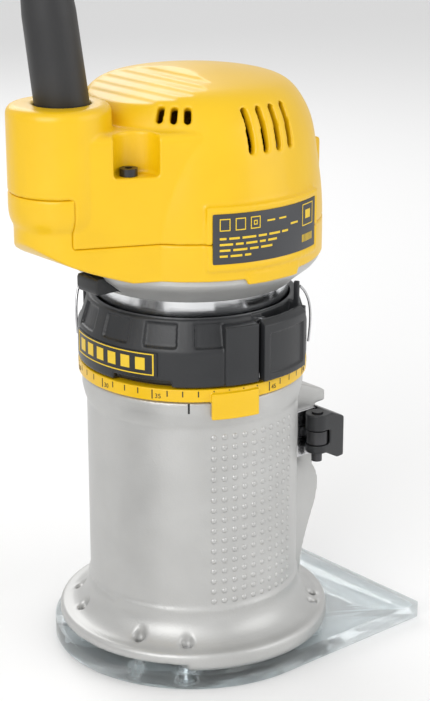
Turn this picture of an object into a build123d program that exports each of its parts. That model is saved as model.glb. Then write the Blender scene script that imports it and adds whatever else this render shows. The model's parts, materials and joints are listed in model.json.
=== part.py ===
from build123d import *
import os
from math import acos, cos, pi, radians, sin

# Trim router with a fixed base, standing on its clear sub-base. Millimetres.
# +Z runs up the spindle axis from the middle of the sub-base's underside. +X points at the
# window and the clamp lever, -X at the cord.

GAP = 0.4                # between parts that move past each other
RUNNING = 0.06           # radial clearance of a running fit

# Sub-base and base casting
PLATE_R = 52.0
PLATE_T = 5.6
PLATE_END_X = 69.0
PLATE_BORE_R = 17.0
FLANGE_R = 50.0
FLANGE_TOP = 12.2
FLANGE_BORE_R = 30.0
WALL_R = 38.4
WALL_FOOT_Z = 24.0
WALL_TOP_R = 40.0
BASE_TOP = 103.4
COLLAR_R = 36.2
COLLAR_TOP = 111.0
FOOT_STEP_X = -33.0      # the flange's underside is relieved beyond this line
FOOT_STEP_H = 2.5
WINDOW_HALF_W = 14.0
WINDOW_SPRING_Z = 42.0   # where the window's arch begins
SLIT_HALF_W = 1.2
PLATE_SCREWS = [(-29.3, 31.4), (29.3, 34.3)]     # mirrored in Y
SPARE_HOLES = [(-39.1, 16.6), (33.6, 29.1)]      # mirrored in Y, tapped M4
TAP_R = 1.65
CLEARANCE_R = 2.3

# Clamp
EAR_X = 44.5
EAR_HALF_W = 18.0
EAR_LOW = 60.0
EAR_HIGH = 92.5
BOLT_X = 40.0
BOLT_Z = 73.0
BOLT_R = 2.5
LEVER_PIN_Y = -24.2
LEVER_PIN_R = 2.0
CAM_R = 4.4

# Motor
CAN_R = 34.5
CAN_BORE_R = 30.0
CAN_LOW = 41.0
BAND_TOP = 138.2         # top of the turned part of the can
NECK_R = 45.0
NECK_TOP = 148.0
THREAD_LEAD = 12.7
TRAVEL = 38.0
SLOT_W = 6.4
GUIDE_PIN_R = 3.0
GUIDE_PIN_Z = 66.0

# Rings
RING_R = 41.2
MICRO_LOW = 103.8
MICRO_HIGH = 108.4
RING_LOW = 108.8
RING_SHOULDER = 121.5
RING_TOP = 132.5
RING_BORE_R = 34.95
TAB_ANGLES = (-80.0, 100.0)
TAB_HALF = 15.6          # half the angle that a release tab covers
PIVOT_AT = -13.4         # angle from a tab's middle to its hinge pin
PIVOT_R = 38.9
PIVOT_PIN_R = 0.8
FINGER_AT = -28.0        # angle from a tab's middle to its finger
FINGER_Z = 114.0
FINGER_R = 1.25
GROOVE_H = 3.3
GROOVE_FLOOR_R = 32.8

# Housing
HOUSING_R = 46.1
HOUSING_TOP = 212.4
WALL = 2.8
PARTING_Z = 161.0
BOSS_X = -57.0
BOSS_R = 17.5
BOSS_TOP = 207.0
BOSS_PARTING_Z = 178.0
BOSS_STEP_X = -63.0
WEB_TOP = 198.0
SCOOP = (-43.5, 24.0, 7.6, 184.0)        # x, y, radius, floor height
CASE_SCREW = (-43.5, 19.6)
DIAL_X = 34.5
DIAL_Z = 194.4
DIAL_R = 9.6
LABEL_FROM, LABEL_TO = -121.5, -65.6
LABEL_LOW, LABEL_HIGH = 154.2, 171.4

# Cord
CORD_D = 7.0
RELIEF_FOOT = (-55.6, 0.0, 207.0)
RELIEF_LEAN = 8.0
RELIEF_LENGTH = 58.0
COIL_X = -200.5
COIL_R_OUT = 52.0        # middle of the outer turn
COIL_TURNS_ACROSS = 1.75
COIL_LAYERS = 4
TIE_ANGLE = -30.0
LEAD_FACE_X = -173.5     # where the falling cord meets the coil's lead-in
CORD_FALL = [
    (-63.672, 0.0, 264.436), (-67.082, 0.0, 288.7), (-78.2, 10.0, 309.2), (-96.0, 26.0, 317.0),
    (-113.9, 42.0, 309.2), (-125.0, 52.0, 288.7), (-126.4, 53.0, 262.0), (-127.0, 53.4, 218.0),
    (-126.8, 53.4, 166.0), (-125.8, 53.0, 114.0), (-124.4, 52.3, 68.0), (-123.0, 52.0, 34.5),
    (-134.0, 52.0, 14.8), (-153.0, 52.0, 3.5), (LEAD_FACE_X, 52.0, 3.5),
]
CORD_END = [
    (42.5, 31.1, 24.5), (31.1, 42.5, 26.5), (15.7, 47.3, 31.5), (-0.2, 44.5, 36.0),
    (-13.1, 34.7, 39.0), (-19.909, 20.1, 39.0),
]                        # from the coil's middle
PLUG_HEADING = 245.0
PLUG_Z = 39.0


# ---------------------------------------------------------------- helpers

def outline(*points):
    return make_face(Polyline(*points, close=True))


def turned(*points, arc=360):
    """A solid of revolution about Z, from (radius, height) points."""
    return revolve(Plane.XZ * outline(*points), Axis.Z, revolution_arc=arc)


def ring(r_out, r_in, low, high):
    return Pos(0, 0, low) * extrude(Circle(r_out) - Circle(r_in), high - low)


def rod(r, low, high):
    return Pos(0, 0, low) * extrude(Circle(r), high - low)


def sector(r_out, r_in, low, high, start, end):
    """Part of a ring, between two angles in degrees."""
    piece = turned((r_in, low), (r_out, low), (r_out, high), (r_in, high), arc=end - start)
    return Rot(0, 0, start) * piece


def side_prism(points, half_width):
    """An (x, z) outline, extruded both ways along Y."""
    return extrude(Plane.XZ * outline(*points), half_width, both=True)


def front_prism(points, x_low, x_high):
    """A (y, z) outline, extruded along X."""
    return Pos(x_low, 0, 0) * extrude(Plane.YZ * outline(*points), x_high - x_low)


def block(x0, x1, y0, y1, z0, z1):
    corner = (Align.MIN, Align.MIN, Align.MIN)
    return Pos(x0, y0, z0) * Box(x1 - x0, y1 - y0, z1 - z0, align=corner)


def y_rod(r, x, z, y0, y1):
    return Pos(x, y0, z) * Rot(-90, 0, 0) * extrude(Circle(r), y1 - y0)


def radial_rod(r, angle, z, r0, r1):
    return Rot(0, 0, angle) * Pos(r0, 0, z) * Rot(0, 90, 0) * extrude(Circle(r), r1 - r0)


def helix_wire(radius, wire_r, height, turns):
    """A coil spring standing on Z = 0."""
    path = Helix(pitch=height / turns, height=height, radius=radius)
    start = Plane(origin=path @ 0, z_dir=path % 0)
    return sweep(start * Circle(wire_r), path, is_frenet=True)


def both_sides(points):
    return [(x, side * y) for x, y in points for side in (1, -1)]


# ---------------------------------------------------------------- base

def sub_base():
    plan = Circle(PLATE_R) + Pos(PLATE_END_X / 2, 0) * Rectangle(PLATE_END_X, 2 * PLATE_R)
    plate = extrude(plan, PLATE_T)
    corners = plate.edges().filter_by(Axis.Z).group_by(Axis.X)[-1]
    plate = fillet(corners, 1.5)
    plate -= rod(PLATE_BORE_R, -1, PLATE_T + 1)
    for x, y in both_sides(PLATE_SCREWS):
        countersink = turned((0, -0.1), (4.2, -0.1), (4.2, 0.6), (CLEARANCE_R, 2.6), (0, 2.6))
        plate -= Pos(x, y, 0) * (rod(CLEARANCE_R, -1, PLATE_T + 1) + countersink)
    for x, y in both_sides(SPARE_HOLES):
        plate -= Pos(x, y, 0) * rod(CLEARANCE_R, -1, PLATE_T + 1)
    return plate


def sub_base_screws():
    shank = rod(1.6, 0.8, FLANGE_TOP - 0.8)
    head = turned((0, 0.6), (3.6, 0.6), (2.0, 2.3), (0, 2.3))
    slot = Pos(0, 0, 0.6) * Box(4.2, 0.9, 1.6) + Pos(0, 0, 0.6) * Box(0.9, 4.2, 1.6)
    screw = shank + head - slot
    return [Pos(x, y, 0) * screw for x, y in both_sides(PLATE_SCREWS)]


def casting_shell():
    foot = [
        Line((CAN_R + RUNNING, FLANGE_TOP), (FLANGE_BORE_R, FLANGE_TOP)),
        Line((FLANGE_BORE_R, FLANGE_TOP), (FLANGE_BORE_R, PLATE_T)),
        Line((FLANGE_BORE_R, PLATE_T), (FLANGE_R - 0.6, PLATE_T)),
        Line((FLANGE_R - 0.6, PLATE_T), (FLANGE_R, PLATE_T + 0.8)),
        Line((FLANGE_R, PLATE_T + 0.8), (FLANGE_R, FLANGE_TOP - 1.6)),
        ThreePointArc((FLANGE_R, FLANGE_TOP - 1.6), (FLANGE_R - 0.5, FLANGE_TOP - 0.5),
                      (FLANGE_R - 1.6, FLANGE_TOP)),
        Line((FLANGE_R - 1.6, FLANGE_TOP), (46.4, FLANGE_TOP)),
        ThreePointArc((46.4, FLANGE_TOP), (41.0, 15.8), (39.2, WALL_FOOT_Z)),
        Line((39.2, WALL_FOOT_Z), (WALL_R, WALL_FOOT_Z + 0.8)),
        Line((WALL_R, WALL_FOOT_Z + 0.8), (WALL_R, 93.4)),
        Line((WALL_R, 93.4), (WALL_R + 0.6, 94.2)),
        Line((WALL_R + 0.6, 94.2), (WALL_TOP_R, 98.5)),
        Line((WALL_TOP_R, 98.5), (WALL_TOP_R, BASE_TOP - 0.6)),
        Line((WALL_TOP_R, BASE_TOP - 0.6), (WALL_TOP_R - 0.6, BASE_TOP)),
        Line((WALL_TOP_R - 0.6, BASE_TOP), (COLLAR_R, BASE_TOP)),
        Line((COLLAR_R, BASE_TOP), (COLLAR_R, COLLAR_TOP)),
        Line((COLLAR_R, COLLAR_TOP), (CAN_R + RUNNING, COLLAR_TOP)),
        Line((CAN_R + RUNNING, COLLAR_TOP), (CAN_R + RUNNING, FLANGE_TOP)),
    ]
    shell = revolve(Plane.XZ * make_face(foot), Axis.Z)
    return shell - ring(COLLAR_R + 1, 35.5, 109.9, COLLAR_TOP - 0.1)


def frame_section(z, front_x, crease):
    """The window frame's plan at one height: a blunt nose whose flanks curve in to the wall."""
    cx, cy = (WALL_R - 0.3) * cos(radians(crease)), (WALL_R - 0.3) * sin(radians(crease))
    kx, ky = front_x, EAR_HALF_W
    mx, my = (cx + kx) / 2 - 1.6, (cy + ky) / 2 - 1.8
    edges = [
        Line((12, -12), (cx, -cy)), ThreePointArc((cx, -cy), (mx, -my), (kx, -ky)),
        Line((kx, -ky), (kx, ky)), ThreePointArc((kx, ky), (mx, my), (cx, cy)),
        Line((cx, cy), (12, 12)), Line((12, 12), (12, -12)),
    ]
    return Pos(0, 0, z) * make_face(edges)


def window_frame():
    heights = [(FLANGE_TOP - 1, 37.6, 62), (28.4, 40.1, 62), (43.4, 45.5, 56),
               (51.4, 46.8, 51), (58.0, 44.6, 48), (63.5, 37.2, 46)]
    sections = [frame_section(z, x, crease) for z, x, crease in heights]
    return loft(sections)


def clamp_ears():
    column = block(30, EAR_X, -EAR_HALF_W, EAR_HALF_W, EAR_LOW, EAR_HIGH - 6)
    hood = side_prism([(30, EAR_HIGH), (37, EAR_HIGH), (50, 87.2), (50, 82.6), (30, 82.6)],
                      EAR_HALF_W)
    return column + hood


def base_casting():
    bore = rod(CAN_R + RUNNING, FLANGE_TOP, 130)
    casting = casting_shell() + ((window_frame() + clamp_ears()) - bore)
    casting += Pos(43.5, 13.5, FLANGE_TOP - 0.2) * Box(6, 9, 5, align=(Align.CENTER, Align.CENTER,
                                                                     Align.MIN))
    arch = front_prism([(-WINDOW_HALF_W, FLANGE_TOP), (WINDOW_HALF_W, FLANGE_TOP),
                        (WINDOW_HALF_W, WINDOW_SPRING_Z), (-WINDOW_HALF_W, WINDOW_SPRING_Z)], 20, 60)
    arch += Pos(20, 0, WINDOW_SPRING_Z) * Rot(0, 90, 0) * extrude(Circle(WINDOW_HALF_W), 40)
    casting -= arch
    casting -= block(25, 60, -SLIT_HALF_W, SLIT_HALF_W, WINDOW_SPRING_Z, COLLAR_TOP + 1)
    casting -= block(-60, FOOT_STEP_X, -60, 60, PLATE_T - 1, PLATE_T + FOOT_STEP_H)
    for x, y in both_sides(PLATE_SCREWS + SPARE_HOLES):
        casting -= Pos(x, y, 0) * rod(TAP_R, 0, 30)
        casting -= Pos(x, y, FLANGE_TOP) * rod(2.3, 0, 12)
    casting -= y_rod(BOLT_R + 0.15, BOLT_X, BOLT_Z, -30, 30)
    for angle in (90, -90):
        casting -= radial_rod(GUIDE_PIN_R, angle, GUIDE_PIN_Z, 30, WALL_R - 1.1)
    return casting


def guide_pins():
    return [radial_rod(GUIDE_PIN_R, angle, GUIDE_PIN_Z, 32.5, WALL_R - 1.2) for angle in (90, -90)]


def snap_ring():
    wire = turned((35.5, 109.9), (37.2, 109.9), (37.2, COLLAR_TOP - 0.1), (35.5, COLLAR_TOP - 0.1),
                  arc=332)
    return Rot(0, 0, 14) * wire


# ---------------------------------------------------------------- clamp

def clamp_plate():
    plate = block(34.4, 43.6, -19.4, -EAR_HALF_W, 64.2, 82.0)
    return plate - y_rod(BOLT_R + 0.15, BOLT_X, BOLT_Z, -30, 0)


def clamp_bolt():
    """An eye bolt: the lever's pin goes through its eye."""
    eye = Pos(BOLT_X, LEVER_PIN_Y, BOLT_Z - 2.5) * extrude(Circle(4.0) - Circle(LEVER_PIN_R), 5)
    shank = y_rod(BOLT_R - 0.1, BOLT_X, BOLT_Z, LEVER_PIN_Y + 3.2, 24.5)
    return eye + shank


def clamp_nut():
    nut = Pos(BOLT_X, EAR_HALF_W, BOLT_Z) * Rot(-90, 0, 0) * extrude(
        RegularPolygon(4.7, 6) - Circle(BOLT_R), 4.6)
    washer = Pos(BOLT_X, EAR_HALF_W, BOLT_Z) * Rot(-90, 0, 0) * extrude(
        Circle(5.6) - Circle(BOLT_R), 1.0)
    return nut + washer


def lever_pin():
    return Pos(BOLT_X, LEVER_PIN_Y, 0) * rod(LEVER_PIN_R, 63.2, 82.6)


def clamp_lever():
    plan = outline((BOLT_X, LEVER_PIN_Y - CAM_R), (50.5, -27.6), (53.7, -23.5), (53.7, 13.0),
                   (51.5, 16.5), (48.6, 16.5), (46.4, 12.5), (45.3, 4.0), (45.3, -18.6),
                   (BOLT_X + 3.2, -20.9), (BOLT_X, LEVER_PIN_Y))
    plan += Pos(BOLT_X, LEVER_PIN_Y) * Circle(CAM_R)
    body = Pos(0, 0, 60) * extrude(plan, 26)
    side = side_prism([(34, 82.0), (44.5, 82.0), (53.7, 77.6), (53.7, 63.5), (47.4, 63.5),
                       (41.0, 67.0), (34, 67.0)], 40)
    body = body & side
    body -= Pos(BOLT_X, LEVER_PIN_Y, 0) * rod(LEVER_PIN_R + RUNNING, 60, 90)
    body -= Pos(BOLT_X, LEVER_PIN_Y, 0) * rod(4.7, BOLT_Z - 2.9, BOLT_Z + 2.9)
    return body


# ---------------------------------------------------------------- rings

def micro_ring():
    band = ring(RING_R, COLLAR_R + GAP, MICRO_LOW, MICRO_HIGH)
    tab = sector(RING_R + 1.3, WALL_TOP_R + GAP, 97.5, MICRO_HIGH - 1.4, -121, -97)
    return band + tab


def tab_housing():
    """The raised bay of the ring that one tab sits in, about the X axis."""
    bay = sector(RING_R + 1.2, 38, RING_LOW + 0.6, 130.5, FINGER_AT - 6.5, 20.5)
    fin = sector(40.2, 38.2, 128, 139.2, 17.2, 20.4)
    return bay + fin


def adjust_ring():
    band = turned((RING_BORE_R, 111.5), (37.8, 111.5), (37.8, 109.6), (COLLAR_R + GAP, 109.6),
                  (COLLAR_R + GAP, RING_LOW), (RING_R - 0.6, RING_LOW), (RING_R, RING_LOW + 0.6),
                  (RING_R, RING_SHOULDER), (37.9, RING_TOP - 0.8), (37.2, RING_TOP),
                  (RING_BORE_R, RING_TOP))
    band -= sector(60, 38.6, RING_LOW - 1, RING_LOW + 2.4, -172, -140)
    for side in (0, 180):
        for k in range(5):
            middle = side - 120.5 - 25.7 * k
            band -= pad_recess(middle)
    for angle in TAB_ANGLES:
        band += Rot(0, 0, angle) * tab_housing()
    for angle in TAB_ANGLES:
        band -= Rot(0, 0, angle) * tab_space()
        band += Rot(0, 0, angle) * pivot_lips()
    return band


def pad_recess(middle):
    """A shallow pocket in the ring's sloping grip band."""
    pocket = turned((37.9, 122.9), (50, 122.9), (50, 131.2), (36.7, 131.2), arc=17)
    pocket = Rot(0, 0, middle - 8.5) * pocket
    core = turned((0, 122), (40.05, 122), (37.1, 131.6), (0, 131.6))
    return pocket - core


def tab_space():
    paddle = sector(60, 36.8, 111.2, 140, -17.0, 17.9)
    paddle += sector(60, 37.5, RING_LOW - 1, 111.2, -17.0, 17.9)
    arm = sector(41.0, 37.3, 111.0, 117.0, FINGER_AT - 4.2, -15)
    finger = radial_rod(2.3, FINGER_AT, FINGER_Z, 30, 38)
    return paddle + arm + finger


def pivot_lips():
    """The ring's two ears that hold a tab's pin."""
    lips = sector(40.0, 37.4, RING_LOW, 110.0, -17.2, -10.5)
    lips += sector(40.0, 36.7, 129.9, 131.4, -17.2, -10.5)
    return lips - Pos(*pivot_place(), 0) * rod(PIVOT_PIN_R, 100, 140)


def pivot_place():
    return PIVOT_R * cos(radians(PIVOT_AT)), PIVOT_R * sin(radians(PIVOT_AT))


def release_tab():
    """Pressing the paddle in swings the finger out of the can's groove."""
    x, y = pivot_place()
    paddle = sector(43.8, 40.7, RING_LOW + 0.7, 131.4, -TAB_HALF, TAB_HALF)
    paddle &= turned((30, 105), (50, 105), (50, 124), (40, 133), (30, 133))
    recess = sector(50, 43.1, RING_LOW + 3.0, 126.5, -TAB_HALF + 3.6, TAB_HALF - 3.0)
    barrel = Pos(x, y, 0) * rod(1.8, 111.6, 129.5)
    barrel += sector(41.5, 38.9, 111.6, 129.0, -15.0, -11.8)
    arm = sector(39.1, 37.7, 111.5, 116.5, FINGER_AT - 1.6, -13)
    finger = radial_rod(FINGER_R, FINGER_AT, FINGER_Z, 33.6, 38.2)
    tab = paddle - recess + barrel + arm + finger
    return tab - Pos(x, y, 0) * rod(PIVOT_PIN_R + RUNNING, 100, 140)


def release_pin():
    return Pos(*pivot_place(), 0) * rod(PIVOT_PIN_R, RING_LOW + 0.2, 131.0)


def tab_spring():
    """The bent wire beside each tab."""
    path = Spline(polar(40.0, 21.0, 137.0), polar(42.0, 27.0, 131.5), polar(42.6, 31.0, 123.0),
                  polar(41.9, 33.0, 114.0))
    start = Plane(origin=path @ 0, z_dir=path % 0)
    return sweep(start * Circle(0.45), path)


def polar(r, angle, z):
    return r * cos(radians(angle)), r * sin(radians(angle)), z


def ring_badge():
    return sector(RING_R + 0.55, RING_R, 112.8, 121.2, -206, -147)


# ---------------------------------------------------------------- motor

def groove(first_angle):
    """One start of the depth thread, left-handed, so turning the ring anticlockwise lifts."""
    turns = (TRAVEL + 2.6) / THREAD_LEAD
    height = turns * THREAD_LEAD
    low = FINGER_Z - TRAVEL - 1.3
    middle = (CAN_R + 1 + GROOVE_FLOOR_R) / 2
    path = Helix(pitch=THREAD_LEAD, height=height, radius=middle, lefthand=True)
    start = Plane(origin=path @ 0, x_dir=(1, 0, 0), z_dir=path % 0)
    cut = sweep(start * Rectangle(CAN_R + 1 - GROOVE_FLOOR_R, GROOVE_H), path, is_frenet=True)
    angle = first_angle + 360 * (FINGER_Z - low) / THREAD_LEAD
    return Pos(0, 0, low) * Rot(0, 0, angle) * cut


def motor_can():
    can = turned(
        (16.05, 44.0), (16.05, 53.4), (22, 55.5), (CAN_BORE_R, 55.5), (CAN_BORE_R, 143),
        (40.5, 146), (40.5, NECK_TOP + 4), (43.0, NECK_TOP + 4), (43.0, NECK_TOP),
        (NECK_R, NECK_TOP), (NECK_R, NECK_TOP - 1.6), (43.6, 144.6), (37.4, 139.6),
        (36.2, BAND_TOP), (CAN_R, BAND_TOP), (CAN_R, CAN_LOW + 1), (CAN_R - 1, CAN_LOW),
        (13.0, CAN_LOW), (13.0, 44.0))
    for k in range(8):
        can -= Rot(0, 0, 22.5 + 45 * k) * Pos(24.5, 0, 0) * rod(3.4, CAN_LOW - 1, 60)
    for angle in (90, -90):
        slot = block(GROOVE_FLOOR_R - 1, CAN_R + 2, -SLOT_W / 2, SLOT_W / 2, CAN_LOW - 1,
                     GUIDE_PIN_Z + GUIDE_PIN_R + 0.8)
        can -= Rot(0, 0, angle) * slot
    for angle in TAB_ANGLES:
        can -= groove(angle + FINGER_AT)
    can -= block(-50, -25, -6.2, 6.2, 139.4, 146.8)
    return can


def label_recess():
    return sector(60, 46.2, LABEL_LOW - 0.3, LABEL_HIGH + 0.3, LABEL_FROM - 0.4, LABEL_TO + 0.4)


def dome(inset):
    points = [(HOUSING_R, NECK_TOP), (45.6, 170.0), (43.6, 185.0), (41.6, 195.2), (38.6, 201.6),
              (33.6, 207.3), (26.0, 209.9), (15.0, 211.5), (0.0, HOUSING_TOP)]
    span = HOUSING_TOP - NECK_TOP
    inner = [(max(r - inset, 0), z - inset * (z - NECK_TOP) / span) for r, z in points]
    skin = Spline(*inner, tangents=[(0, 1), (-1, 0)])
    foot = [Line((0, NECK_TOP), inner[0]), skin, Line(inner[-1], (0, NECK_TOP))]
    return revolve(Plane.XZ * make_face(foot), Axis.Z)


def web(inset):
    """The body between the dome and the cord boss, with its bottom sweeping up to the boss."""
    big_x, big_r, small_r = -12.0, 36.0 - inset, 15.9 - inset
    lean = radians(90) + radians(90) - acos((big_r - small_r) / (big_x - BOSS_X))
    ends = [(big_x + big_r * cos(lean), big_r * sin(lean)),
            (BOSS_X + small_r * cos(lean), small_r * sin(lean))]
    plan = outline(ends[0], ends[1], (ends[1][0], -ends[1][1]), (ends[0][0], -ends[0][1]))
    plan += Pos(big_x, 0) * Circle(big_r) + Pos(BOSS_X, 0) * Circle(small_r)
    solid = Pos(0, 0, NECK_TOP) * extrude(plan, WEB_TOP - inset - NECK_TOP)
    top = solid.edges().group_by(Axis.Z)[-1]
    solid = fillet(top, 2.6)
    low = NECK_TOP + inset
    under = [
        Line((40, low), (-45, low)),
        Spline((-45, low), (-60, low + 5.4), (-70, low + 11.2), (-77, low + 19)),
        Line((-77, low + 19), (-77, WEB_TOP + 5)),
        Line((-77, WEB_TOP + 5), (40, WEB_TOP + 5)),
        Line((40, WEB_TOP + 5), (40, low)),
    ]
    return solid & extrude(Plane.XZ * make_face(under), 60, both=True)


def boss(inset):
    r = BOSS_R - inset
    top = BOSS_TOP - inset * 1.4
    profile = [
        Line((0, top), (r - 3, top)),
        ThreePointArc((r - 3, top), (r - 0.88, top - 0.88), (r, top - 3)),
        Line((r, top - 3), (r, 176)),
        Spline((r, 176), (r - 0.9, 168 + inset * 0.6), (r - 5, 162.6 + inset), (0, 160.6 + inset),
               tangents=[(0, -1), (-1, 0)]),
        Line((0, 160.6 + inset), (0, top)),
    ]
    return Pos(BOSS_X, 0, 0) * revolve(Plane.XZ * make_face(profile), Axis.Z)


def scoops(grow):
    x, y, r, floor = SCOOP
    return Pos(x, y, 0) * rod(r + grow, floor - grow, 230), Pos(x, -y, 0) * rod(
        r + grow, floor - grow, 230)


def grip_steps():
    """Low ridges across the cord side of the top, cut as a flight of steps."""
    points = [(-5.0, 212.2)]
    for k in range(5):
        x = -8.0 - 5.4 * k
        z = 211.4 - 1.15 * k
        points += [(x, z), (x - 0.5, z - 0.9)]
    return side_prism(points + [(-40.0, 204.6), (-40.0, 225.0), (-5.0, 225.0)], 60)


def long_vents():
    """Four upright slots in each side of the dome."""
    slots = []
    for side in (1, -1):
        for k in range(4):
            x = -8.2 + 5.6 * k
            slots.append(Pos(x, side * 38, 196.8) * Rot(0, 4, 0) * Box(2.3, 26, 14.6))
    return slots


def short_vents():
    slots = []
    for angle in (214, 221, 228, 132, 139, 146):
        slots.append(Rot(0, 0, angle) * Pos(38.5, 0, 203.5) * Rot(0, -35, 0) * Box(14, 2.3, 6.0))
    return slots


def housing_outer():
    form = dome(0) + web(0) + boss(0)
    form += sector(47.0, 40, LABEL_LOW - 2.4, LABEL_HIGH + 2.4, LABEL_FROM - 2.6, LABEL_TO + 2.6)
    form += sector(46.5, NECK_R, 146.0, 150, -106, -78.5)
    form += fillet(block(38, 50, -14, 14, 160, 183.2).edges().group_by(Axis.X)[-1], 2.4)
    form -= grip_steps()
    for scoop in scoops(0):
        form -= scoop
    return form - label_recess()


def housing_space():
    """Everything that both housing shells leave empty."""
    space = dome(WALL) + web(WALL) + boss(WALL)
    for scoop in scoops(WALL):
        space -= scoop
    space -= grown_steps()
    posts = [Pos(CASE_SCREW[0], side * CASE_SCREW[1], 0) * rod(4.6, 140, 190) for side in (1, -1)]
    for post in posts:
        space -= post
    space += rod(43.0, 147, NECK_TOP + 8)
    space += block(40, 60, -9.6, 9.6, 162.5, 181.5)
    space += y_rod(2.0 + RUNNING, 44.0, 172.0, -10.8, 10.8)
    space += block(28, 60, -3.9, 3.9, DIAL_Z - DIAL_R - 0.8, DIAL_Z + DIAL_R + 0.8)
    space += relief_plane() * extrude(Circle(9.5), 14, both=True)
    for slot in long_vents() + short_vents():
        space += slot
    for side in (1, -1):
        space += Pos(CASE_SCREW[0], side * CASE_SCREW[1], 0) * rod(1.7, 152, 190)
    return space


def grown_steps():
    return side_prism([(-2.0, 209.2), (-40.0, 200.4), (-40.0, 225.0), (-2.0, 225.0)], 60)


def below_parting():
    return side_prism([(-90, 130), (-90, BOSS_PARTING_Z), (BOSS_STEP_X, BOSS_PARTING_Z),
                       (BOSS_STEP_X, PARTING_Z), (80, PARTING_Z), (80, 130)], 80)


def housings():
    shell = housing_outer() - housing_space()
    lower_zone = below_parting()
    return largest(shell - lower_zone), largest(shell & lower_zone)


def largest(shape):
    return max(shape.solids(), key=lambda solid: solid.volume)


def label_plate():
    return sector(46.7, 46.2, LABEL_LOW, LABEL_HIGH, LABEL_FROM, LABEL_TO)


def housing_screws():
    x, y = CASE_SCREW
    floor = SCOOP[3]
    screw = rod(1.65, 154, floor) + rod(3.0, floor, floor + 2.6) - rod(1.3, floor + 1.0, floor + 4)
    return [Pos(x, side * y, 0) * screw for side in (1, -1)]


def switch_body():
    return block(30, 40.9, -9, 9, 163, 181) + block(24, 30, -6, 6, 166, 178)


def switch_rocker():
    """Two faces at a shallow V, held with the lower one pressed out."""
    points = [(42.2, 168), (47.6, 163.9), (51.4, 164.3), (49.3, 172.0), (50.3, 179.6),
              (47.6, 180.1), (42.2, 176)]
    return side_prism(points, 8.9) + y_rod(2.0, 44.0, 172.0, -10.4, 10.4)


def speed_dial():
    wheel = y_rod(DIAL_R, DIAL_X, DIAL_Z, -3.3, 3.3)
    notch = Pos(DIAL_R + 0.1, 0, 0) * Rot(0, 45, 0) * Box(1, 8, 1)
    for k in range(24):
        wheel -= Pos(DIAL_X, 0, DIAL_Z) * Rot(0, 15 * k, 0) * notch
    return wheel - y_rod(2.0 + RUNNING, DIAL_X, DIAL_Z, -5, 5)


def speed_module():
    board = block(14, 29, -13, -5.2, 186, 199)
    axle = y_rod(2.0, DIAL_X, DIAL_Z, -5.2, 4.6)
    carrier = block(22, 36.8, -5.2, -4.0, 187, 196.8)
    return board + axle + carrier


def lock_button():
    cap = block(-47.2, -36.4, -5.6, 5.6, 140.0, 145.8)
    cap &= turned((0, 139), (46.4, 139), (47.2, 141.5), (47.2, 145), (46, 147), (0, 147))
    plunger = Pos(-36.6, 0, 142.9) * Rot(0, 90, 0) * extrude(Circle(2.3), 26.6)
    return cap + plunger


def lock_spring():
    return Pos(-36.0, 0, 142.9) * Rot(0, 90, 0) * helix_wire(3.0, 0.4, 8.2, 5)


def lock_guide():
    """The bush inside the can that steers the lock's plunger and backs its spring."""
    bush = Pos(-27.0, 0, 142.9) * Rot(0, 90, 0) * extrude(Circle(4.6) - Circle(2.3 + RUNNING), 6)
    return bush + lock_guide_arm()


def lock_guide_arm():
    arm = block(-27, -24, -29, 29, 139.5, 146.3) & rod(CAN_BORE_R, 130, 150)
    return arm - Pos(-30, 0, 142.9) * Rot(0, 90, 0) * extrude(Circle(3.4), 8)


# ---------------------------------------------------------------- motor inside

def field_core():
    core = ring(CAN_BORE_R, 17.9, 80, 122)
    for side in (0, 180):
        for middle in (51, -51):
            core -= sector(27.6, 20, 70, 130, side + middle - 10, side + middle + 10)
    return core


def field_coils():
    coils = []
    for side in (0, 180):
        saddle = sector(27.0, 20.6, 71, 131, side - 60, side + 60)
        saddle -= sector(40, 10, 79.5, 122.5, side - 42.5, side + 42.5)
        coils.append(saddle)
    return coils


def armature_core():
    core = rod(17.3, 80, 122) - rod(5.0, 70, 130)
    for k in range(12):
        core -= Rot(0, 0, 30 * k) * block(14.6, 18, -0.8, 0.8, 79, 123)
    return core


def armature_windings():
    crown = turned((5.0, 71.5), (12.5, 71.5), (15.5, 74.5), (15.5, 80), (5.0, 80))
    tail = turned((5.0, 122), (15.5, 122), (15.5, 127), (12.5, 131), (5.0, 131))
    return [crown, tail]


def commutator():
    drum = ring(12.0, 5.0, 150, 166)
    for k in range(24):
        drum -= Rot(0, 0, 15 * k) * block(11.2, 13, -0.2, 0.2, 149, 167)
    return drum


def spindle_shaft():
    shaft = turned((0, 20), (8.0, 20), (8.0, 34), (9.5, 34), (9.5, 40), (7.5, 40.6), (7.5, 56),
                   (5.0, 58), (5.0, 138), (7.0, 138), (7.0, 148), (5.0, 149), (5.0, 170.4),
                   (4.0, 170.6), (4.0, 181), (0, 181))
    shaft -= turned((0, 19), (6.5, 19), (5.25, 33), (5.2, 46), (0, 48))
    flats = block(-12, 12, -12, -8.0, 33, 40.3) + block(-12, 12, 8.0, 12, 33, 40.3)
    shaft -= flats
    for angle in (0, 90):
        shaft -= radial_rod(2.6, angle, 142.9, -12, 12)
    return shaft


def collet():
    sleeve = turned((4.0, 11.4), (6.9, 11.4), (7.5, 13.2), (6.3, 20.0), (5.15, 33), (4.0, 33))
    for k in range(4):
        sleeve -= Rot(0, 0, 45 + 90 * k) * block(3, 9, -0.35, 0.35, 10, 28)
    return sleeve


def collet_nut():
    """The hexagon that draws the collet up, running up to a round skirt."""
    hexagon = Pos(0, 0, 13.4) * extrude(RegularPolygon(11.6, 6), 12.6)
    hexagon &= turned((0, 13.2), (9.6, 13.2), (11.7, 15), (11.7, 24.6), (10.6, 26.2), (0, 26.2))
    nose = turned((0, 11.8), (8.8, 11.8), (9.8, 13.4), (0, 13.4))
    return hexagon + nose - rod(7.55, 11, 20.2) - rod(8.0, 20, 27)


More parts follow.
